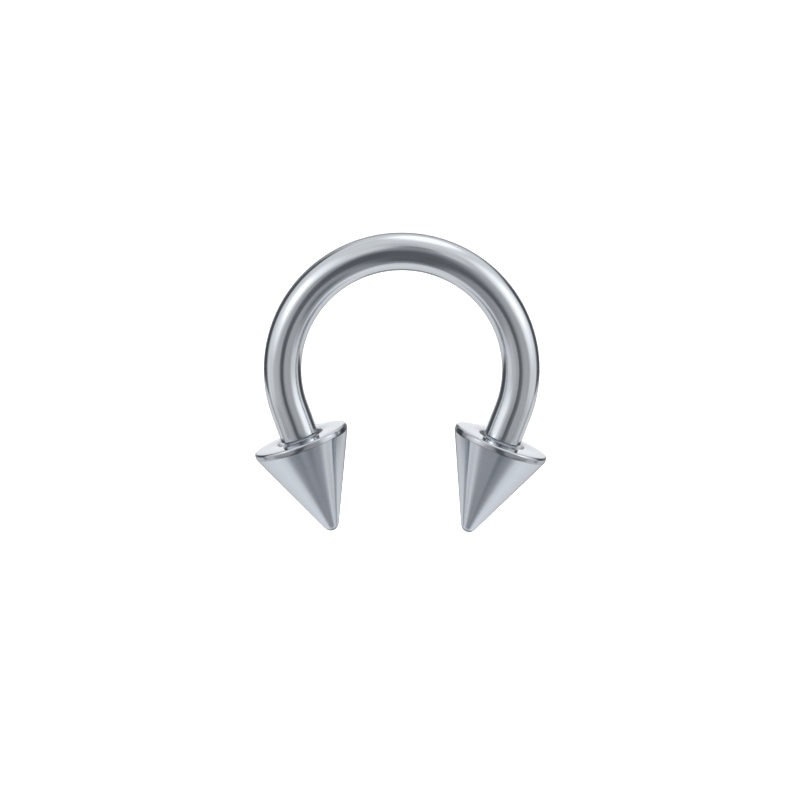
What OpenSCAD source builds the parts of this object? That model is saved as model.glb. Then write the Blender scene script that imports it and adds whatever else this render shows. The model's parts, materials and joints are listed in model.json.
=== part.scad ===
// Horseshoe barbell: a round wire bent to a horseshoe, with a cone screwed on to each end.
// It lies on its side, as it would on a table: the top of the curve and both cone rims touch z = 0.
// The curve's top points to +Y, the cones' tips to -Y, and the origin is under the middle of its box.

/* [Wire] */
// Diameter of the round wire, 16 gauge
wire_d = 1.2; // [1:0.05:1.3]
// Clear width inside the curve, across its widest place
inner_d = 6.4; // [6:0.05:12]
// How far each arm curves on past the widest place, in degrees
arm_overrun = 20; // [5:1:30]
// Straight length of each arm, from the end of its curve to its cone's flat face
arm_straight = 1; // [0.5:0.1:3]

/* [Threaded ends] */
// Length of each threaded stud, from the wire's shoulder to the stud's end
stud_len = 1.1; // [0.8:0.05:1.2]
// Distance from one thread ridge to the next
thread_pitch = 0.25; // [0.2:0.05:0.3]
// How much thinner than the wire the thread is, on the diameter
thread_undersize = 0.06; // [0.04:0.01:0.1]

/* [Cones] */
// Diameter of each cone at its widest place
cone_d = 3.1; // [2.9:0.1:4]
// Length of each cone, from its flat face to its tip
cone_len = 3.2; // [2.9:0.02:4]
// Radius of the rounded rim round the flat face
rim_r = 0.15; // [0.1:0.01:0.2]
// Radius of the rounded tip
tip_r = 0.27; // [0.12:0.01:0.3]
// Width of the countersink's ring round the wire
sink_w = 0.17; // [0.1:0.01:0.22]

/* [Clearances] */
// Gap between the wire's shoulder and the countersink that it seats in
seat_gap = 0.02; // [0.01:0.01:0.04]
// Gap all round between the thread's ridges and the hole in the cone
hole_gap = 0.02; // [0.01:0.01:0.04]
// Room past the stud's end in the bottom of the hole
hole_room = 0.15; // [0.1:0.01:0.2]

/* [Hidden] */
$fn = 96;
// How far a cutter or a stud reaches past the face that it starts from
overlap = 0.05;

// Wire and curve
wire_r = wire_d / 2;
curve_r = inner_d / 2 + wire_r;

// Thread: a 60 degree ridge, and ridges as deep as such a thread cuts
thread_depth = 0.613 * thread_pitch;
stud_r = (wire_d - thread_undersize) / 2;
core_r = stud_r - thread_depth;
ridge_count = floor(stud_len / thread_pitch);

// Hole in the cone: a 45 degree countersink, a straight wall and a drill's point
hole_r = stud_r + hole_gap;
sink_r = wire_r + sink_w;
sink_depth = sink_r - hole_r;
shoulder_depth = sink_w - seat_gap;
hole_depth = shoulder_depth + stud_len + hole_room;
drill_point = hole_r / tan(59);

// Cone outline: the side is the line that touches the rim's circle and the tip's circle
rim_at = cone_d / 2 - rim_r;
side_run = cone_len - tip_r - rim_r;
side_angle = atan2(rim_at, side_run) + asin((rim_r - tip_r) / norm([rim_at, side_run]));

// Where a cone's flat face stands, in the plane of the curve: x across, y towards the curve's top
face_x = curve_r * cos(arm_overrun) - arm_straight * sin(arm_overrun);
face_y = -curve_r * sin(arm_overrun) - arm_straight * cos(arm_overrun);

// Lean at which the curve's top and both rims touch the surface together:
// run * sin(lean) = rise + rim_at * sqrt(1 - (cos(arm_overrun) * sin(lean))^2)
run = curve_r - face_y + rim_r * cos(arm_overrun);
rise = rim_r - wire_r;
across = rim_at * cos(arm_overrun);
lean_sin = (run * rise + sqrt(run^2 * rise^2 - (run^2 + across^2) * (rise^2 - rim_at^2)))
    / (run^2 + across^2);
lean = asin(lean_sin);

// Height of the curve's centre, and the shift that puts the origin under the middle of the box
centre_z = curve_r * sin(lean) + wire_r;
tip_y = face_y - (cone_len - tip_r) * cos(arm_overrun);
far_y = curve_r * cos(lean) + wire_r;
near_y = tip_y * cos(lean) - tip_r;
centre_y = -(far_y + near_y) / 2;

// Points along a circular arc, from one angle to another
function arc(centre, r, from, to, steps) = [
    for (i = [0:steps]) let (a = from + (to - from) * i / steps)
        centre + r * [cos(a), sin(a)]
];

// Outline of half a cone, radius across and depth from the flat face up
cone_outline = concat(
    [[0, 0]],
    arc([rim_at, rim_r], rim_r, -90, side_angle, 10),
    arc([0, cone_len - tip_r], tip_r, side_angle, 90, 8)
);

// Outline of half a stud from the shoulder up: a short neck, then ridges with narrow flat crests
crest_from = 0.4;
crest_to = 0.6;
ridge_start = stud_len - ridge_count * thread_pitch;
stud_outline = concat(
    [[0, -overlap], [core_r, -overlap], [core_r, ridge_start]],
    [for (i = [0:ridge_count - 1], p = [[stud_r, crest_from], [stud_r, crest_to], [core_r, 1]])
        [p[0], ridge_start + (i + p[1]) * thread_pitch]],
    [[0, stud_len]]
);

// Puts what is drawn in the plane of the curve where it lies on the surface
module laid() {
    translate([0, centre_y, centre_z]) rotate([-lean, 0, 0]) children();
}

// Puts what is drawn along +Z at the end of the right arm's curve, running along the arm
module along_arm() {
    rotate([0, 0, -arm_overrun])
        translate([curve_r, 0, 0])
            rotate([90, 0, 0])
                children();
}

module threaded_stud() {
    rotate_extrude() polygon(stud_outline);
}

// Quarter of the plane of the curve that lies past the right arm's end of the curve
module past_arm() {
    rotate([0, 0, -arm_overrun])
        translate([0, -2 * curve_r, -curve_r])
            cube(2 * curve_r);
}

// The ring is turned so that its seam falls in the part that is cut away
module curve() {
    difference() {
        rotate([0, 0, -90])
            rotate_extrude() translate([curve_r, 0]) circle(r = wire_r);
        past_arm();
        mirror([1, 0, 0]) past_arm();
    }
}

module arm() {
    along_arm() {
        cylinder(r = wire_r, h = arm_straight + shoulder_depth);
        translate([0, 0, arm_straight + shoulder_depth])
            threaded_stud();
    }
}

module screw_cone() {
    difference() {
        rotate_extrude() polygon(cone_outline);
        translate([0, 0, -overlap])
            cylinder(r = hole_r, h = hole_depth + overlap);
        translate([0, 0, -overlap])
            cylinder(r1 = sink_r + overlap, r2 = hole_r, h = sink_depth + overlap);
        translate([0, 0, hole_depth])
            cylinder(r1 = hole_r, r2 = 0, h = drill_point);
    }
}

module bar() {
    color("silver") laid() {
        curve();
        arm();
        mirror([1, 0, 0]) arm();
    }
}

module cone_left() {
    color("lightslategray")
        laid() mirror([1, 0, 0]) along_arm() translate([0, 0, arm_straight]) screw_cone();
}

module cone_right() {
    color("lightslategray")
        laid() along_arm() translate([0, 0, arm_straight]) screw_cone();
}

bar();
cone_left();
cone_right();
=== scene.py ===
# %% [markdown]
# # A horseshoe barbell in polished steel
# The jewel is a round steel wire, bent to a horseshoe, with a cone screwed on to each end. It lies
# on its side. The CAD model gives the frame: every size and place below agrees with it, and Blender
# adds what the CAD leaves out, such as a true thread, soft edges, and the look of polished steel.

# %% Load the CAD frame
import json
import math

import bmesh
import bpy
from mathutils import Matrix, Vector


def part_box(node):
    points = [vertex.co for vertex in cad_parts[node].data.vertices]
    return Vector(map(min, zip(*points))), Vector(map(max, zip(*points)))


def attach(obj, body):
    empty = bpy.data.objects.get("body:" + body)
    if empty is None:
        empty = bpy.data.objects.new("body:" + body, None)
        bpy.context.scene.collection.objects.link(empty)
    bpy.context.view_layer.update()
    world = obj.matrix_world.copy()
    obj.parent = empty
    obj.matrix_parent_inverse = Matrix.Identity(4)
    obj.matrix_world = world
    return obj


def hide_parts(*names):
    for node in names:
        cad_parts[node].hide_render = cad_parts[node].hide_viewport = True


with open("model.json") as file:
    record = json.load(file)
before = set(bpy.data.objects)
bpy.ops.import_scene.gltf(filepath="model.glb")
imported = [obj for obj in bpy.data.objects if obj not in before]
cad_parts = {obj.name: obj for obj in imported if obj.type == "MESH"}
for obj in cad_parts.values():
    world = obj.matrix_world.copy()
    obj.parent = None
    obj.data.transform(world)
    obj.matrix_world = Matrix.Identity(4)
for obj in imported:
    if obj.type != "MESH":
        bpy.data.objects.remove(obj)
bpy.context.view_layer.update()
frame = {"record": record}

record = frame["record"]
mounts = {mount["name"]: mount for mount in record["mounts"]}
joints = {joint["name"]: joint for joint in record["behaviour"]["joints"]}
print("mounts:", *mounts, "joints:", *joints)

# %% [markdown]
# ## Where the curve lies
# The whole jewel is flat: the wire's middle line stays in one plane, which leans a little, because
# the fat cones and the thin top of the curve rest on the same floor. The two cones' axes lie in
# that plane, so their cross product is its normal. The shapes could be drawn in metres where they
# lie, but Blender's bevel tools lose accuracy on parts a thousandth of a metre wide. So they are
# drawn in millimetres, in that plane, and one matrix lays each finished mesh down.

# %% Find the plane of the curve
MM = 0.001


def in_mm(point_m):
    """A point of the record, in millimetres."""
    return Vector(point_m) / MM


axis_left = Vector(joints["cone_left_unscrew"]["axis"]).normalized()
axis_right = Vector(joints["cone_right_unscrew"]["axis"]).normalized()
across = Vector((1, 0, 0))
normal = axis_right.cross(axis_left).normalized()
upward = normal.cross(across)
print(f"the plane leans by {math.degrees(normal.angle(Vector((0, 0, 1)))):.1f} degrees")

# %% Measure the wire and the curve
WIRE_R = mounts["wire_in_piercing"]["dims"]["r_mm"]
CURVE_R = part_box("bar")[1][0] / MM - WIRE_R
OVERRUN = math.asin(axis_left.x)
centre = in_mm(mounts["wire_in_piercing"]["pos_m"]) - upward * CURVE_R

plane = Matrix((across, upward, normal)).transposed().to_4x4()
laid = Matrix.Translation(centre) @ plane
print(f"wire {2 * WIRE_R:.2f} mm, curve {2 * (CURVE_R - WIRE_R):.2f} mm inside,",
      f"overrun {math.degrees(OVERRUN):.1f} degrees")

# %% [markdown]
# ## A frame for each arm
# Each arm ends in a straight stretch, then a threaded stud, then the cone. These are all turned
# parts, so they are easiest to draw round an upright axis, as on a lathe. `arm_frame` stands that
# axis at the end of the curve, pointing along the arm. One arm could be made as the mirror image
# of the other, but then its thread would be left-handed. Both of these frames are right-handed, so
# both threads come out right-handed, as on the real jewel.

# %% A frame at the end of each arm
LEFT, RIGHT = -1, 1


def arm_frame(side):
    """Local Z runs along the arm, away from the curve, and local X points out from the curve."""
    out = Vector((side * math.cos(OVERRUN), -math.sin(OVERRUN), 0))
    along = Vector((-side * math.sin(OVERRUN), -math.cos(OVERRUN), 0))
    turn = Matrix((out, along.cross(out), along)).transposed().to_4x4()
    return Matrix.Translation(out * CURVE_R) @ turn


def face_distance(side, mount_name):
    """How far along the arm a cone's flat face stands, from its mount in the record."""
    point = (laid @ arm_frame(side)).inverted() @ in_mm(mounts[mount_name]["pos_m"])
    return point.z


ARM_STRAIGHT = face_distance(RIGHT, "back_face_right")
print(f"straight arm: {ARM_STRAIGHT:.3f} mm, left {face_distance(LEFT, 'back_face_left'):.3f} mm")

# %% [markdown]
# ## Colours and nodes
# A material is a tree of nodes. It could be clicked together in the editor, but a script gives the
# same tree each time. Colours are given as on a screen, in sRGB hex, and turned to the linear
# values that the renderer adds up light in. One function adds any node: a value is set, and an
# output is linked.

# %% Turn a colour to linear, and add a node
def linear(hex_colour):
    """An sRGB colour such as #c4c7cc as linear red, green, blue and 1."""
    parts = [int(hex_colour[i:i + 2], 16) / 255 for i in (1, 3, 5)]
    return [c / 12.92 if c <= 0.04045 else ((c + 0.055) / 1.055) ** 2.4 for c in parts] + [1]


def add(tree, kind, inputs, **settings):
    """Adds a node, with its settings, and with its inputs set or linked."""
    node = tree.nodes.new(kind)
    for key, value in settings.items():
        setattr(node, key, value)
    for key, value in inputs.items():
        if isinstance(value, bpy.types.NodeSocket):
            tree.links.new(value, node.inputs[key])
        else:
            node.inputs[key].default_value = value
    return node


def new_tree(owner):
    """An empty node tree for a material or a world."""
    owner.use_nodes = True
    owner.node_tree.nodes.clear()
    return owner.node_tree


# %% [markdown]
# ## Polished surgical steel
# The real metal is 316L steel, polished on a soft wheel. Bare metal has no colour of its own under
# the shine: its base colour is how much of each colour it mirrors, here 50 to 65%, a little more
# blue than red. Polishing leaves faint lines: along the wire, as it was drawn, and round the cones,
# as they turned. Real lines are some 5 micrometres wide, too fine to show, so they are drawn 50 to
# 60 micrometres wide. They bend the mirror image slightly and blur it in places. A picture of
# scratches could do that too, but noise from nodes stays sharp from near by.

# %% Make steel from a pattern
AS_MADE = "as_made"
# A micrometre, in metres
UM = MM / 1000
# Patches where the wheel pressed less: their width in millimetres, and their share in the blur
HAZE_WIDTH, HAZE_SHARE = 1.6, 0.55
# The values that noise seldom leaves
NOISE_LOW, NOISE_HIGH = 0.3, 0.7


def steel(name, pattern, colours, roughness, bump_um, over=None):
    """Steel, with a pattern from 0 to 1 that tints it, roughens it and raises it."""
    material = bpy.data.materials.new(name)
    tree = new_tree(material)
    made = add(tree, "ShaderNodeAttribute", {}, attribute_name=AS_MADE).outputs["Vector"]
    lines = pattern(tree, made)
    haze = add(tree, "ShaderNodeTexNoise", {
        "Vector": made,
        "Scale": 1 / (HAZE_WIDTH * MM),
        "Detail": 3.0,
    })
    worn = add(tree, "ShaderNodeMix", {"Factor": HAZE_SHARE, "A": lines, "B": haze.outputs["Fac"]})
    rough = add(tree, "ShaderNodeMapRange", {
        "Value": worn.outputs["Result"],
        "From Min": NOISE_LOW,
        "From Max": NOISE_HIGH,
        "To Min": roughness[0],
        "To Max": roughness[1],
    })
    bump = add(tree, "ShaderNodeBump", {
        "Height": lines,
        "Distance": bump_um * UM,
        "Strength": 1.0,
    })
    tone = add(tree, "ShaderNodeMix", {
        "Factor": lines,
        "A": linear(colours[0]),
        "B": linear(colours[1]),
    }, data_type="RGBA").outputs["Result"]
    if over is not None:
        tone = over(tree, made, tone)
    shader = add(tree, "ShaderNodeBsdfPrincipled", {
        "Base Color": tone,
        "Metallic": 1.0,
        "Roughness": rough.outputs["Result"],
        "Normal": bump.outputs["Normal"],
    })
    add(tree, "ShaderNodeOutputMaterial", {"Surface": shader.outputs["BSDF"]})
    print(f"{name}: {len(tree.nodes)} nodes")
    return material


# %% The steel of the wire
# A drawn line's length and width in millimetres
LINE_LENGTH, LINE_WIDTH = 4, 0.06


def drawn_lines(tree, made):
    """Long fine lines along the wire: the noise is squeezed across it and stretched along it."""
    stretched = add(tree, "ShaderNodeMapping", {
        "Vector": made,
        "Scale": (1 / (LINE_LENGTH * MM), 1 / (LINE_WIDTH * MM), 1 / (LINE_WIDTH * MM)),
    })
    return add(tree, "ShaderNodeTexNoise", {
        "Vector": stretched.outputs["Vector"],
        "Scale": 1.0,
        "Detail": 2.0,
    }).outputs["Fac"]


# Pulled through a die, then polished: the lines stretch each reflection along the wire
wire_steel = steel(
    "polished 316L steel, drawn", drawn_lines,
    colours=("#b6babf", "#d1d5da"), roughness=(0.13, 0.19), bump_um=2.5,
)

# %% [markdown]
# ## Turned steel
# A cone is cut on a lathe, which leaves rings, and the wheel then polishes its side until that is
# the clearest mirror on the jewel. The last tenth of a millimetre at the point is painted a darker
# grey, as painted shade on the tip. The rings could be stretched noise too, but that would run
# straight across a round part.
# Here the noise sees only the distance from the axis and the height, so it closes into rings.

# %% The steel of the cones
# A ring's width, and the heights where the tip's painted shade starts and is full, in millimetres
RING_WIDTH = 0.05
TIP_SHADE_COLOUR = "#85888d"
TIP_SHADE_FROM, TIP_SHADE_FULL = 3.04, 3.14


def turned_rings(tree, made):
    """Fine rings round the lathe's axis: the noise sees only the radius and the height."""
    split = add(tree, "ShaderNodeSeparateXYZ", {"Vector": made})
    flat = add(tree, "ShaderNodeCombineXYZ", {"X": split.outputs["X"], "Y": split.outputs["Y"]})
    radius = add(tree, "ShaderNodeVectorMath", {0: flat.outputs["Vector"]}, operation="LENGTH")
    ring = add(tree, "ShaderNodeCombineXYZ", {
        "X": radius.outputs["Value"],
        "Y": split.outputs["Z"],
    })
    return add(tree, "ShaderNodeTexNoise", {
        "Vector": ring.outputs["Vector"],
        "Scale": 1 / (RING_WIDTH * MM),
        "Detail": 2.0,
    }).outputs["Fac"]


def painted_tip_shade(tree, made, tone):
    """Paints shade on the end of the cone: a darker grey, by the height above its flat face."""
    split = add(tree, "ShaderNodeSeparateXYZ", {"Vector": made})
    reach = add(tree, "ShaderNodeMapRange", {
        "Value": split.outputs["Z"],
        "From Min": TIP_SHADE_FROM * MM,
        "From Max": TIP_SHADE_FULL * MM,
    }, interpolation_type="SMOOTHSTEP")
    return add(tree, "ShaderNodeMix", {
        "Factor": reach.outputs["Result"],
        "A": tone,
        "B": linear(TIP_SHADE_COLOUR),
    }, data_type="RGBA").outputs["Result"]


# Turned and polished: a clear mirror, with rings that hardly show, and painted shade at the tip
cone_steel = steel(
    "polished 316L steel, turned", turned_rings,
    colours=("#bfc4cb", "#c7ccd3"), roughness=(0.11, 0.16), bump_um=0.3, over=painted_tip_shade,
)

# %% [markdown]
# ## Steel for the rims, the studs and the countersinks
# The same metal looks different after each tool. The narrow rim gets a darker copy of the cone's
# steel, as painted shade on the rim. The stud is left as the lathe cut it, with rings that show.
# The countersink is cut by a blunt angled bit, which leaves it matt, and its paler colour is
# painted light in that recess. One steel could stand for all, but then the seat where the wire goes
# into the cone would have no edges to the eye.

# %% The steel of the rims, the studs and the countersinks
# The rim: a darker copy of the cone's steel, as painted shade
rim_steel_shaded = steel(
    "turned 316L steel, rim, painted shade", turned_rings,
    colours=("#a6a9ae", "#b4b7bc"), roughness=(0.13, 0.19), bump_um=0.6,
)
cut_steel = steel(
    "machined 316L steel", turned_rings,
    colours=("#a4a7ac", "#c0c3c8"), roughness=(0.1, 0.16), bump_um=0.8,
)
# The countersink: matt, and its paler colour is painted light that lifts the shade in the recess
sunk_steel_lit = steel(
    "countersunk 316L steel, painted light", turned_rings,
    colours=("#cdd0d4", "#dee1e5"), roughness=(0.3, 0.38), bump_um=0.8,
)

# %% [markdown]
# ## Tapped holes
# Each cone's hole is tapped: a tap cuts a thread into its wall. That wall shows only when the cone
# is off, and then deep in the shade, so its ridges are bump, not mesh. The height above the flat
# face, less the share of a turn, counts the ridges, and a sine makes them round. The same sine
# paints the steel darker between the ridges, as painted shade in the grooves.

# %% The steel of the tapped holes
PITCH = 0.25


def tapped_ridges(tree, made):
    """Ridges that climb round the hole like a thread, one each PITCH."""
    split = add(tree, "ShaderNodeSeparateXYZ", {"Vector": made})
    turn = add(tree, "ShaderNodeMath", {
        0: split.outputs["Y"],
        1: split.outputs["X"],
    }, operation="ARCTAN2")
    climb = add(tree, "ShaderNodeMath", {
        0: split.outputs["Z"],
        1: math.tau / (PITCH * MM),
    }, operation="MULTIPLY")
    phase = add(tree, "ShaderNodeMath", {
        0: climb.outputs["Value"],
        1: turn.outputs["Value"],
    }, operation="SUBTRACT")
    wave = add(tree, "ShaderNodeMath", {0: phase.outputs["Value"]}, operation="SINE")
    return add(tree, "ShaderNodeMath", {
        0: wave.outputs["Value"],
        1: 0.5,
        2: 0.5,
    }, operation="MULTIPLY_ADD").outputs["Value"]


# Cut by the tap and never polished, and blurred; darker between the ridges as painted shade
tapped_steel_shaded = steel(
    "tapped 316L steel, shade painted between ridges", tapped_ridges,
    colours=("#85888d", "#b4b7bc"), roughness=(0.2, 0.28), bump_um=50,
)

# %% [markdown]
# ## The wire
# The real wire is cut from a coil, bent round a pin, and its ends are turned down and threaded. It
# could be a curve with a round bevel, but a mesh takes the threads on to its ends without a seam.
# Here it is made as it is bent: a circle is pushed out along the left arm, spun round the curve's
# centre, and pushed out again along the right arm. A spin gives an even curve, which a row of
# separate moves would not.

# %% Push a loop of edges along
def edges_in(geom):
    """The edges in what an operator made."""
    return [item for item in geom if isinstance(item, bmesh.types.BMEdge)]


def verts_of(edges):
    """The verts of some edges, each once, in order."""
    return list(dict.fromkeys(vert for edge in edges for vert in edge.verts))


def open_edges(bm):
    """Edges with one face: the rims that are still open."""
    return [edge for edge in bm.edges if len(edge.link_faces) == 1]


def push(bm, edges, offset):
    """Extrudes a loop of edges by an offset, and gives the new loop."""
    loop = edges_in(bmesh.ops.extrude_edge_only(bm, edges=edges)["geom"])
    bmesh.ops.translate(bm, verts=verts_of(loop), vec=offset)
    return loop


def arm_axis(side):
    """Direction along an arm, away from the curve."""
    return arm_frame(side).to_3x3() @ Vector((0, 0, 1))


# %% Push and spin the wire
# Faces round the wire, and along its curve
ROUND = 96
CURVE_STEPS = 150
# The full wire stops this short of the cone's flat face, and a thinner neck goes on
NECK_LENGTH = 0.06
arm_length = ARM_STRAIGHT - NECK_LENGTH

wire = bmesh.new()
start = arm_frame(LEFT) @ Matrix.Translation((0, 0, arm_length))
bmesh.ops.create_circle(wire, segments=ROUND, radius=WIRE_R, matrix=start)
loop = push(wire, wire.edges[:], -arm_axis(LEFT) * arm_length)
spun = bmesh.ops.spin(
    wire,
    geom=verts_of(loop) + loop,
    axis=(0, 0, -1),
    cent=(0, 0, 0),
    angle=math.pi + 2 * OVERRUN,
    steps=CURVE_STEPS,
)
push(wire, edges_in(spun["geom_last"]), arm_axis(RIGHT) * arm_length)
print("wire:", len(wire.faces), "faces,", len(open_edges(wire)), "open edges")

# %% [markdown]
# ## The threads
# An M1.2 thread has a ridge every 0.25 mm. Rings stacked on the stud would look like one from afar,
# but a helix is as easy: one row of ridges, spun once round the stud while it climbs by one ridge,
# gives the whole of it, because the end of each turn meets the start of the next. Then the ridges
# are trimmed: down to the core next to the shoulder, where the cutting tool ran out, and at a slope
# at the tip, so that the cone starts easily.

# %% Draw and spin the thread
# A stud's length, and how much less its thread reaches out than the wire does
STUD_LEN = 1.1
UNDERSIZE = 0.03
STUD_R = WIRE_R - UNDERSIZE
# A 60 degree thread is cut to 0.613 of its pitch
CORE_R = STUD_R - 0.613 * PITCH
# One ridge: how far up the pitch each corner is, and its radius
RIDGE = ((0.1, CORE_R), (0.42, STUD_R), (0.58, STUD_R), (0.9, CORE_R), (1, CORE_R))
SPARE_TURNS = 2
THREAD_STEPS = 72
# Verts this near to each other, in millimetres, are one
MERGE = 1e-4


def line_to(bm, vert, radius, z):
    """Draws a straight piece of outline from a vert, and gives its far end."""
    end = bm.verts.new((radius, 0, z))
    bm.edges.new((vert, end))
    return end


def helix():
    """The thread's surface on local Z, with some turns to spare at both ends of the stud."""
    bm = bmesh.new()
    vert = bm.verts.new((CORE_R, 0, -SPARE_TURNS * PITCH))
    for turn in range(-SPARE_TURNS, math.ceil(STUD_LEN / PITCH) + SPARE_TURNS):
        for part, radius in RIDGE:
            vert = line_to(bm, vert, radius, (turn + part) * PITCH)
    # The end meets the start one ridge higher up, so the doubles are merged after the spin
    bmesh.ops.spin(
        bm,
        geom=bm.verts[:] + bm.edges[:],
        axis=(0, 0, 1),
        cent=(0, 0, 0),
        dvec=(0, 0, PITCH / THREAD_STEPS),
        angle=math.tau,
        steps=THREAD_STEPS,
    )
    bmesh.ops.remove_doubles(bm, verts=bm.verts, dist=MERGE)
    return bm


print(f"thread {2 * STUD_R:.2f} mm wide over its ridges, {2 * CORE_R:.2f} mm in its core")

# %% Cut and trim the stud
# Where each finish is in a piece's list of materials
POLISHED, MACHINED, TAPPED, SUNK, RIM = range(5)
# How far from the shoulder the thread starts, and how far below the core its last turn ends
RUN_OUT, TIP_DROP = 0.1, 0.03


def trimmed_radius(z):
    """The most that the thread may reach at a height above the shoulder."""
    run_out = CORE_R + max(0.0, z - RUN_OUT)
    lead_in = CORE_R - TIP_DROP + max(0.0, STUD_LEN - z)
    return min(STUD_R, run_out, lead_in)


def stud():
    """A threaded stud on local Z, from the shoulder at 0, open at the shoulder."""
    bm = helix()
    for z, below in ((0, True), (STUD_LEN, False)):
        bmesh.ops.bisect_plane(
            bm,
            geom=bm.verts[:] + bm.edges[:] + bm.faces[:],
            plane_co=(0, 0, z),
            plane_no=(0, 0, 1),
            clear_inner=below,
            clear_outer=not below,
        )
    for vert in bm.verts:
        radius = vert.co.xy.length
        vert.co.xy *= min(1, trimmed_radius(vert.co.z) / radius)
    end = [edge for edge in open_edges(bm) if edge.verts[0].co.z > STUD_LEN / 2]
    bmesh.ops.holes_fill(bm, edges=end, sides=0)
    for face in bm.faces:
        face.material_index = MACHINED
    return bm


# %% [markdown]
# ## Groove and neck
# In the photograph the full wire ends just short of the cone, with a dark groove and a slightly
# thinner neck below it. They could be turned as a part of their own, but a joint would show. So the
# wire's own end is shrunk and pushed on in small steps, through the groove, down to where the
# thread starts, and a bridge of faces closes the gap between the two.

# %% Put a stud on each arm
# How deep in the cone the thread starts, and the radii of the groove and the neck
SHOULDER_DEPTH = 0.15
GROOVE_R = 0.50
NECK_R = 0.548
# How far each step is from the end of the full wire, and the radius there
SHOULDER_STEPS = (
    (0.012, 0.588),
    (0.018, GROOVE_R),
    (0.036, GROOVE_R),
    (0.048, NECK_R),
    (NECK_LENGTH + SHOULDER_DEPTH, NECK_R),
)


def turn_down(bm, side, rim, wire_end):
    """Pushes the wire's open rim on through the groove and the neck, and gives the last rim."""
    depth, radius = 0.0, WIRE_R
    for to_depth, to_radius in SHOULDER_STEPS:
        rim = push(bm, rim, arm_axis(side) * (to_depth - depth))
        middle = wire_end + arm_axis(side) * to_depth
        scale = to_radius / radius
        bmesh.ops.scale(
            bm, verts=verts_of(rim), vec=(scale, scale, scale), space=Matrix.Translation(-middle),
        )
        depth, radius = to_depth, to_radius
    return rim


def add_stud(bm, side):
    """Puts a stud on an arm's end, and closes the shoulder between them."""
    wire_end = arm_frame(side) @ Vector((0, 0, arm_length))
    rim = [edge for edge in open_edges(bm) if (edge.verts[0].co - wire_end).length < 2 * WIRE_R]
    wire_faces = set(bm.faces)
    rim = turn_down(bm, side, rim, wire_end)
    for face in bm.faces:
        if face not in wire_faces:
            face.material_index = MACHINED
    part = stud()
    part.transform(arm_frame(side) @ Matrix.Translation((0, 0, ARM_STRAIGHT + SHOULDER_DEPTH)))
    mesh = bpy.data.meshes.new("stud")
    part.to_mesh(mesh)
    part.free()
    before = set(bm.edges)
    bm.from_mesh(mesh)
    bpy.data.meshes.remove(mesh)
    foot = [edge for edge in open_edges(bm) if edge not in before]
    bmesh.ops.bridge_loops(bm, edges=rim + foot)


for side in (LEFT, RIGHT):
    add_stud(wire, side)
bmesh.ops.recalc_face_normals(wire, faces=wire.faces)
print("wire with studs:", len(wire.faces), "faces,", len(open_edges(wire)), "open edges")

# %% [markdown]
# ## From the bench to the floor
# A finished piece's object stays at the origin, unturned, with its place in its mesh, so that the
# patterns of its material stay on it. On Object coordinates the draw lines would run straight
# through the bend. So each point also keeps, in an attribute, where it was before the piece was
# bent and laid down: the lines then follow the wire, and turning marks run round a cone.

# %% Finish a piece
SHARP = math.radians(35)
to_metres = Matrix.Scale(MM, 4)


def finish_piece(name, bm, place, as_made, materials):
    """Makes the object, in metres and laid down, from a mesh in millimetres."""
    layer = bm.verts.layers.float_vector.new(AS_MADE)
    for vert in bm.verts:
        vert[layer] = as_made(vert.co) * MM
    for face in bm.faces:
        face.smooth = True
    for edge in bm.edges:
        edge.smooth = edge.calc_face_angle(0) < SHARP
    bm.transform(to_metres @ laid @ place)
    mesh = bpy.data.meshes.new(name)
    bm.to_mesh(mesh)
    bm.free()
    for material in materials:
        mesh.materials.append(material)
    piece = bpy.data.objects.new(name, mesh)
    bpy.context.scene.collection.objects.link(piece)
    even = piece.modifiers.new("flat faces stay flat", "WEIGHTED_NORMAL")
    even.keep_sharp = True
    print(f"{name}: {len(mesh.polygons)} faces")
    return piece


# %% Lay the wire down
def as_drawn(point):
    """Where a point of the bent wire was while the wire was straight: along X, and across."""
    for side in (LEFT, RIGHT):
        local = arm_frame(side).inverted() @ point
        if local.z > 0 and side * point.x > 0:
            curve_end = (math.pi / 2 + OVERRUN) * CURVE_R
            return Vector((side * (curve_end + local.z), local.x, side * local.y))
    return Vector((math.atan2(point.x, point.y) * CURVE_R, point.xy.length - CURVE_R, point.z))


bar_piece = finish_piece("horseshoe_wire", wire, Matrix(), as_drawn, [wire_steel, cut_steel])
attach(bar_piece, "bar")
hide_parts("bar")

# %% [markdown]
# ## The cones
# A real cone is turned from bar: the lathe cuts its outline while it spins. Here the outline of
# half a cone is drawn with lines and arcs, from the tip, over the rounded rim and the flat face,
# down the countersink and into the hole. Spun round the axis, it makes the whole cone, closed at
# both ends of the axis. A ready-made cone would have no rim, no countersink and a needle point.

# %% Sizes of a cone
CONE_R, CONE_LEN = 1.55, 3.2
# The rounded rim, its tighter edge to the flat face, and the tip
RIM_R, EDGE_R, TIP_R = 0.15, 0.07, 0.27
# The countersink's ring round the wire, and how far its outer edge is softened
SINK_WIDTH, BREAK = 0.17, 0.015
# Play round the thread, and room past the end of the stud
HOLE_PLAY, HOLE_ROOM = 0.02, 0.15
# A drill's point is ground to 118 degrees
DRILL_HALF_ANGLE = math.radians(59)

SINK_R = WIRE_R + SINK_WIDTH
HOLE_R = STUD_R + HOLE_PLAY
SINK_DEPTH = SINK_R - HOLE_R
HOLE_DEPTH = SHOULDER_DEPTH + STUD_LEN + HOLE_ROOM
HOLE_END = HOLE_DEPTH + HOLE_R / math.tan(DRILL_HALF_ANGLE)

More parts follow.
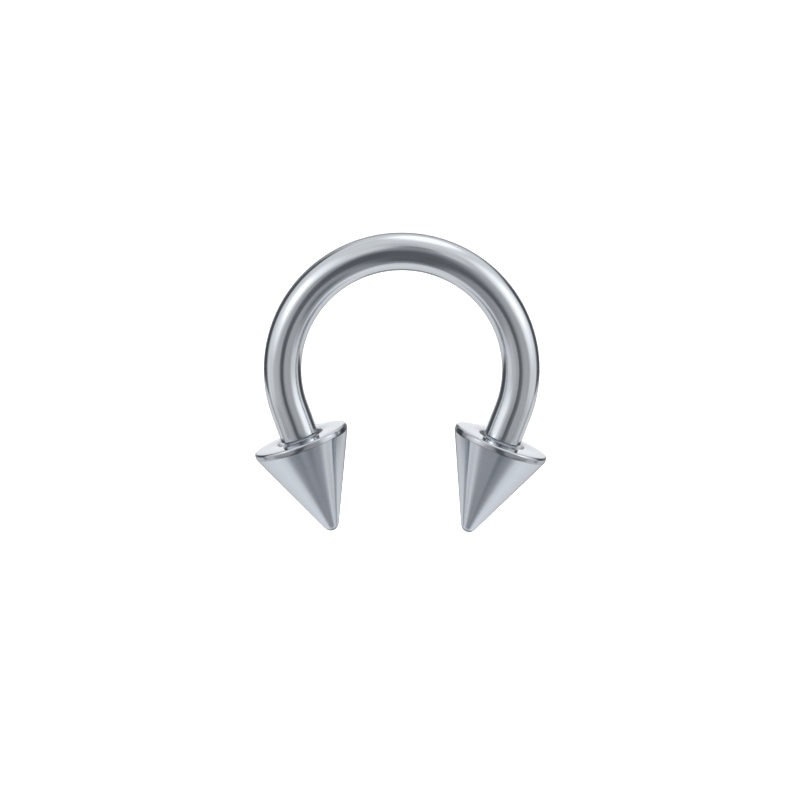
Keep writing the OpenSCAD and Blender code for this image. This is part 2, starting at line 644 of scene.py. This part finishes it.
rim_at = CONE_R - RIM_R
side_run = CONE_LEN - TIP_R - RIM_R
slope = math.atan2(rim_at, side_run) + math.asin((RIM_R - TIP_R) / math.hypot(rim_at, side_run))
RIM_TOP = RIM_R + RIM_R * math.sin(slope)
print(f"the cone's side slopes by {math.degrees(slope):.1f} degrees")

# %% Draw half a cone
TIP_STEPS, RIM_STEPS, EDGE_STEPS, BREAK_STEPS = 12, 6, 10, 3


def arc_on(bm, vert, radius, z, angle, steps):
    """Draws an arc from a vert round a centre, clockwise, and gives its far end."""
    arc = bmesh.ops.spin(
        bm, geom=[vert], cent=(radius, 0, z), axis=(0, 1, 0), angle=angle, steps=steps,
    )
    return next(item for item in arc["geom_last"] if isinstance(item, bmesh.types.BMVert))


def draw_half(bm):
    """Half the outline of a cone on local Z, with its flat face at 0."""
    tip = bm.verts.new((0, 0, CONE_LEN))
    shoulder = arc_on(bm, tip, 0, CONE_LEN - TIP_R, math.pi / 2 - slope, TIP_STEPS)
    rim = line_to(bm, shoulder, rim_at + RIM_R * math.cos(slope), RIM_TOP)
    land = arc_on(bm, rim, rim_at, RIM_R, slope, RIM_STEPS)
    edge = line_to(bm, land, CONE_R, EDGE_R)
    face = arc_on(bm, edge, CONE_R - EDGE_R, EDGE_R, math.pi / 2, EDGE_STEPS)
    sink = line_to(bm, face, SINK_R, 0)
    hole = line_to(bm, sink, HOLE_R, SINK_DEPTH)
    bottom = line_to(bm, hole, HOLE_R, HOLE_DEPTH)
    line_to(bm, bottom, 0, HOLE_END)
    bmesh.ops.bevel(
        bm, geom=[sink], offset=BREAK, segments=BREAK_STEPS, profile=0.5, affect="VERTICES",
        material=-1,
    )


# %% Turn a cone
CONE_STEPS = 144
# The rim's darker steel starts this high above the flat face; the edge below it keeps the bright
# steel, as a painted highlight line
RIM_FOOT = 0.45 * EDGE_R
# A face whose normal has this share along the radius is on the hole's straight wall
WALL_SHARE = 0.99


def finish_of(face):
    """Which finish a face of a cone shows, by where it is."""
    middle = face.calc_center_median()
    radius = middle.xy.length
    if radius > CONE_R - EDGE_R and RIM_FOOT < middle.z < RIM_TOP:
        return RIM
    if radius >= SINK_R or not BREAK < middle.z < HOLE_END:
        return POLISHED
    if middle.z < SINK_DEPTH:
        return SUNK
    share = abs(face.normal.dot(middle.xy.to_3d().normalized()))
    return TAPPED if share > WALL_SHARE else MACHINED


def turned_cone():
    """A cone on local Z, from its flat face at 0 to its tip."""
    bm = bmesh.new()
    draw_half(bm)
    bmesh.ops.spin(
        bm,
        geom=bm.verts[:] + bm.edges[:],
        axis=(0, 0, 1),
        cent=(0, 0, 0),
        angle=math.tau,
        steps=CONE_STEPS,
        use_merge=True,
    )
    bmesh.ops.remove_doubles(bm, verts=bm.verts, dist=MERGE)
    bmesh.ops.recalc_face_normals(bm, faces=bm.faces)
    for face in bm.faces:
        face.material_index = finish_of(face)
    return bm


# %% Lay the cones down
def as_turned(point):
    """A turned part is made where it is drawn."""
    return point


cone_finishes = [cone_steel, cut_steel, tapped_steel_shaded, sunk_steel_lit, rim_steel_shaded]
for side, node in ((LEFT, "cone_left"), (RIGHT, "cone_right")):
    cone = turned_cone()
    print(node, "open edges:", len(open_edges(cone)))
    spot = arm_frame(side) @ Matrix.Translation((0, 0, ARM_STRAIGHT))
    piece = finish_piece(f"{node}_turned", cone, spot, as_turned, cone_finishes)
    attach(piece, node)
    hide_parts(node)

# %% [markdown]
# ## The camera
# The jewel fills a third of the picture and shows no perspective. An orthographic camera would show
# none either, but a long lens does it as a photographer would, and lets the camera stand somewhere.
# It looks almost straight at the ring, from 10 degrees further towards the top of the curve, and it
# is rolled by two thirds of a degree. It is aimed a little below the ring's centre, as the jewel
# sits a little high in the picture.

# %% Aim the camera
VIEW_TILT = math.radians(10)
ROLL = math.radians(0.65)
# Width of what the picture shows, and how far left of the centre and below it the camera aims
FRAME_WIDTH = 25.48
AIM_LEFT, AIM_BELOW = 0.054, 0.962
LENS, SENSOR = 150, 36
# The camera draws what is between these distances, in metres
CLIP_NEAR, CLIP_FAR = 0.01, 2.0

toward = normal * math.cos(VIEW_TILT) + upward * math.sin(VIEW_TILT)
above = upward * math.cos(VIEW_TILT) - normal * math.sin(VIEW_TILT)
frame_right = across * math.cos(ROLL) + above * math.sin(ROLL)
frame_up = above * math.cos(ROLL) - across * math.sin(ROLL)
aim = centre - frame_right * AIM_LEFT - frame_up * AIM_BELOW
distance = FRAME_WIDTH * LENS / SENSOR

camera = bpy.data.objects.new("camera", bpy.data.cameras.new("camera"))
camera.data.lens = LENS
camera.data.sensor_width = SENSOR
camera.data.clip_start = CLIP_NEAR
camera.data.clip_end = CLIP_FAR
turn = Matrix((frame_right, frame_up, toward)).transposed().to_4x4()
camera.matrix_world = Matrix.Translation((aim + toward * distance) * MM) @ turn
bpy.context.scene.collection.objects.link(camera)
bpy.context.scene.camera = camera
print(f"camera {distance:.0f} mm away")

# %% [markdown]
# ## The floor
# A plain white card. It is shown to the camera and takes the soft shadow, but the steel does not
# mirror it: small jewels are photographed raised above the table, so that they mirror the studio
# all round, and the card is not in their lower half. The floor could be a plain white surface, but
# card has a grain a tenth of a millimetre wide and no shine, which gives the eye a soft even white.

# %% Lay the floor
GRAIN_WIDTH = 0.1
# Half the floor's width in metres, and its squares along each side
FLOOR_HALF, FLOOR_SQUARES = 0.5, 4

card = bpy.data.materials.new("matt white card")
tree = new_tree(card)
place = add(tree, "ShaderNodeTexCoord", {}).outputs["Object"]
grain = add(tree, "ShaderNodeTexNoise", {
    "Vector": place,
    "Scale": 1 / (GRAIN_WIDTH * MM),
    "Detail": 2.0,
})
tone = add(tree, "ShaderNodeMix", {
    "Factor": grain.outputs["Fac"],
    "A": linear("#f7f7f8"),
    "B": linear("#fbfbfb"),
}, data_type="RGBA")
shader = add(tree, "ShaderNodeBsdfPrincipled", {
    "Base Color": tone.outputs["Result"],
    "Roughness": 0.9,
    "Specular IOR Level": 0.1,
})
add(tree, "ShaderNodeOutputMaterial", {"Surface": shader.outputs["BSDF"]})

sheet = bmesh.new()
bmesh.ops.create_grid(
    sheet, x_segments=FLOOR_SQUARES, y_segments=FLOOR_SQUARES, size=FLOOR_HALF,
)
floor_mesh = bpy.data.meshes.new("floor")
sheet.to_mesh(floor_mesh)
sheet.free()
floor_mesh.materials.append(card)
floor = bpy.data.objects.new("floor", floor_mesh)
floor.visible_glossy = False
bpy.context.scene.collection.objects.link(floor)
print(f"floor {2 * FLOOR_HALF:.0f} m wide")

# %% [markdown]
# ## The studio
# Polished steel has no look of its own: it shows what stands round it. Jewellers photograph it in a
# white tent, with a dark gap for the camera and dark cards at both sides, which draw the thin dark
# edges. All of that could be modelled as lamps and cards, but steel needs dozens of soft shapes. So
# the tent here is the world, and its brightness depends on the direction only. A direction is
# measured by how far it points at the camera, to the side, and up in the picture.

# %% Measure a direction
world = bpy.data.worlds.new("light tent")
bpy.context.scene.world = world
tree = new_tree(world)
look = add(tree, "ShaderNodeTexCoord", {}).outputs["Generated"]


def part_along(axis):
    """How far the direction looked in points along an axis, from -1 to 1."""
    return add(
        tree, "ShaderNodeVectorMath", {0: look, 1: tuple(axis)}, operation="DOT_PRODUCT",
    ).outputs["Value"]


def both(a, b):
    """The product of two values."""
    return add(tree, "ShaderNodeMath", {0: a, 1: b}, operation="MULTIPLY").outputs["Value"]


ahead = part_along(toward)
sideways = part_along(across)
high = part_along(above)
print(f"the camera's direction: {toward.x:.3f}, {toward.y:.3f}, {toward.z:.3f}")

# %% [markdown]
# ## The tent's wall
# Fabric lit from outside is brightest at the sides of the jewel. Round the camera it is darker,
# because the photographer stands there, and also far behind the jewel. A colour ramp holds that
# as brightness against the angle from the camera, in degrees. Its colours end at 1, and the tent
# goes above that, so it is stored as a share of the most and multiplied again.

# %% Paint the tent
# Angle from the camera in degrees, and brightness
TENT = (
    (0, 0.18), (10, 0.27), (18, 0.42), (28, 0.54), (40, 0.70), (53, 0.94), (70, 1.0), (84, 0.97),
    (97, 1.08), (120, 1.0), (140, 0.9), (152, 0.72), (162, 0.42), (172, 0.2), (180, 0.15),
)
TENT_MOST = 1.25

off_camera = add(tree, "ShaderNodeMath", {0: ahead}, operation="ARCCOSINE").outputs["Value"]
tent = add(tree, "ShaderNodeValToRGB", {"Fac": both(off_camera, 1 / math.pi)})
steps = tent.color_ramp.elements
while len(steps) < len(TENT):
    steps.new(0.5)
for step, (degrees, brightness) in zip(steps, TENT):
    step.position = degrees / 180
    step.color = (*[brightness / TENT_MOST] * 3, 1)
light = both(tent.outputs["Color"], TENT_MOST)
print(f"tent: {len(steps)} steps of brightness")

# %% [markdown]
# ## Brushes
# Two brushes paint on the tent. `patch` is a round soft spot, placed by its angle from the camera
# and by the clock, with 12 towards the top of the curve. `shape` has soft edges at given parts of a
# direction, and as some cards slope and the table's edge bows, it has slanted ways to measure too.
# Both give a mask from 0 to 1, and `hang` paints with one brightness through each mask, over what is
# there already, so the order counts.

# %% Ways to measure a direction
# How far the cards' feet and the left card's top slope, and how much the table's edge bows
FOOT_SLOPE, TOP_SLOPE, TABLE_BOW = 0.5, -2.0, 0.02


def times_plus(value, factor, added):
    """A value times a factor, plus another value."""
    return add(
        tree, "ShaderNodeMath", {0: value, 1: factor, 2: added}, operation="MULTIPLY_ADD",
    ).outputs["Value"]


WAYS = {
    "ahead": ahead,
    "sideways": sideways,
    "high": high,
    "foot": times_plus(ahead, FOOT_SLOPE, high),
    "top": times_plus(ahead, TOP_SLOPE, high),
    "bowed": times_plus(both(sideways, sideways), TABLE_BOW, ahead),
}
print("ways to measure:", *WAYS)

# %% Make the brushes
def ramp(value, start, full):
    """0 at start and 1 at full, eased."""
    return add(tree, "ShaderNodeMapRange", {
        "Value": value,
        "From Min": start,
        "From Max": full,
    }, interpolation_type="SMOOTHSTEP").outputs["Result"]


def shape(**limits):
    """A mask with soft edges: each way has where it starts, is full, and maybe fades and ends."""
    edges = []
    for way, (start, full, *rest) in limits.items():
        edges.append(ramp(WAYS[way], start, full))
        if rest:
            last, end = rest
            edges.append(ramp(WAYS[way], end, last))
    mask = edges[0]
    for edge in edges[1:]:
        mask = both(mask, edge)
    return mask


def clock(angle, hour):
    """A direction: its angle from the camera in degrees, and its hour on the clock."""
    away, turned = math.radians(angle), math.radians(30 * hour)
    return (toward * math.cos(away)
            + (above * math.cos(turned) + across * math.sin(turned)) * math.sin(away))


def patch(angle, hour, soft, full):
    """A round soft patch that fades out at one radius and is full at another, in degrees."""
    return ramp(part_along(clock(angle, hour)), math.cos(math.radians(soft)),
                math.cos(math.radians(full)))


def hang(light, *things):
    """The light so far, with each thing's brightness painted over it through its mask."""
    for name, mask, brightness in things:
        light = add(tree, "ShaderNodeMix", {
            "Factor": mask,
            "A": light,
            "B": brightness,
        }, label=name).outputs["Result"]
        print(f"hung {name}, brightness {brightness}")
    return light


# %% [markdown]
# ## Bright and grey shapes
# The long stripes along the wire and down the cones are the mirror images of lights. A point of the
# steel mirrors what stands at twice its own slope: a stripe halfway out on the wire comes from the
# side of the tent. Windows, lamps and a sheet of paper are the bright patches. The table's edge,
# the walls, the lens and a stand are the grey and dark ones.

# %% Hang the lights
# For a patch: angle and hour, then the radii in degrees where it fades out and where it is full
light = hang(
    light,
    ("edge of the table", shape(high=(-0.3, -0.62), bowed=(0.10, 0.28)), 0.40),
    ("window on the upper left", patch(34, 10.8, 22, 8), 0.98),
    ("window on the upper right", patch(34, 0.9, 18, 6), 0.92),
    ("wall on the lower right", patch(42, 3.8, 24, 6), 0.54),
    ("wall on the lower left", patch(42, 8.5, 26, 6), 0.64),
    ("lamp on the left", patch(57, 9.7, 32, 10), 1.45),
    ("lamp on the right", patch(71, 2.3, 34, 14), 1.5),
    ("lamp over the top of the curve", patch(93, 0.35, 24, 9), 1.9),
    ("paper behind the top of the curve", patch(161, 0, 13.5, 9), 1.12),
    ("lens", patch(25, 0.4, 11, 2), 0.28),
    ("stand on the lower right", patch(58, 4.9, 14, 4), 0.22),
)

# %% [markdown]
# ## Dark cards
# Bright steel on a white ground has no edge to the eye. Dark cards give it one: a tall one at each
# side, behind the jewel, is mirrored only where the steel turns away, as a thin dark outline. A
# material could darken its own edges instead, but then the outline would be paint that follows the
# camera, and not a reflection. The gap that the camera looks through makes the dark bands.

# %% Hang the cards
# For a shape, each way from -1 to 1: where it starts and is full, then is last full and ends
CARD_FOOT = (-0.50, -0.43)
light = hang(
    light,
    ("gap for the camera", shape(
        sideways=(-0.31, -0.15, 0.05, 0.21), high=(-0.97, -0.86, -0.04, 0.12), ahead=(0.0, 0.2),
    ), 0.105),
    ("card on the left", shape(
        sideways=(-0.22, -0.42), ahead=(-0.93, -0.82, -0.38, -0.14), foot=CARD_FOOT,
        high=(0.9, 0.7), top=(1.95, 1.74),
    ), 0.09),
    ("card on the right", shape(
        sideways=(0.22, 0.42), ahead=(-0.93, -0.82, -0.48, -0.22), foot=CARD_FOOT,
        high=(0.68, 0.45),
    ), 0.09),
    ("card behind the tips", shape(
        high=(-0.25, -0.4), ahead=(-0.97, -0.93, -0.8, -0.66), sideways=(-0.3, -0.15, 0.15, 0.3),
    ), 0.35),
    ("card behind the curve", shape(
        high=(0.05, 0.25), ahead=(-0.925, -0.895, -0.79, -0.66),
    ), 0.25),
)

# %% [markdown]
# ## Paper for the cones
# The outer sides of the cones would mirror bare tent and vanish. A sheet of pale grey paper low at
# each side, with a darker strip behind it, keeps them a soft grey.

# %% Hang the paper
light = hang(
    light,
    ("paper on the right", patch(92, 4.02, 9, 2), 0.8),
    ("strip on the right", patch(107, 3.82, 10, 3), 0.5),
    ("paper on the left", patch(92, 7.98, 9, 2), 0.8),
    ("strip on the left", patch(107, 8.18, 10, 3), 0.5),
)

# %% [markdown]
# ## Light for the card
# The floor should come out white, but the tent that suits the steel would leave it grey and
# patchy. A second scene could hold the floor, but the light path node is simpler: it tells a
# mirrored ray from the others, so the steel sees the tent, and all else gets plain even light. Dark
# parts of the tent are a little bluer than bright ones, as shade in a white room is.

# %% Show the tent to the steel, and plain light to all else
# Brightness at which the card comes out white
FLOOR_LIGHT = 2.6
# Shares of red, green and blue in the shade and in the light, and the brightness where each starts
SHADE, DAYLIGHT = (0.935, 1.0, 1.10, 1), (0.99, 0.995, 1.0, 1)
SHADE_AT, DAYLIGHT_AT = 0.1, 0.6

rays = add(tree, "ShaderNodeLightPath", {})
shown = add(tree, "ShaderNodeMix", {
    "Factor": rays.outputs["Is Glossy Ray"],
    "A": FLOOR_LIGHT,
    "B": light,
}).outputs["Result"]
tint = add(tree, "ShaderNodeMix", {
    "Factor": ramp(shown, SHADE_AT, DAYLIGHT_AT),
    "A": SHADE,
    "B": DAYLIGHT,
}, data_type="RGBA")
back = add(tree, "ShaderNodeBackground", {"Color": tint.outputs["Result"], "Strength": shown})
add(tree, "ShaderNodeOutputWorld", {"Surface": back.outputs["Background"]})
print(f"studio: {len(tree.nodes)} nodes")

# %% [markdown]
# ## Softboxes
# The world alone lights the floor from all sides and leaves hardly a shadow. Two square softboxes,
# where the tent has its lamps, give the jewel a soft faint one, and the brightest stripes a crisper
# core. A light's power is worked out from its brightness and its area, so its size can change and
# it stays as bright to the eye.

# %% Hang the softboxes
# In millimetres: so far off, both ends of the jewel see a box in about the same direction
BOX_WIDTH = 90
BOX_DISTANCE = 300


def softbox(name, angle, hour, radiance):
    """A square soft light that faces the jewel."""
    direction = clock(angle, hour)
    data = bpy.data.lights.new(name, "AREA")
    data.shape = "SQUARE"
    data.size = BOX_WIDTH * MM
    data.energy = radiance * math.pi * data.size ** 2
    box = bpy.data.objects.new(name, data)
    box.matrix_world = (Matrix.Translation((centre + direction * BOX_DISTANCE) * MM)
                        @ direction.to_track_quat("Z", "Y").to_matrix().to_4x4())
    box.visible_camera = False
    bpy.context.scene.collection.objects.link(box)
    print(f"{name}: {data.energy:.4f} watts")


softbox("softbox_left", 57, 9.7, 1.55)
softbox("softbox_right", 71, 2.3, 1.6)

# %% [markdown]
# ## Colours as photographed
# The picture goes from black to white without a film curve, as a photograph for a catalogue does.

# %% Finish
bpy.context.scene.view_settings.view_transform = "Standard"
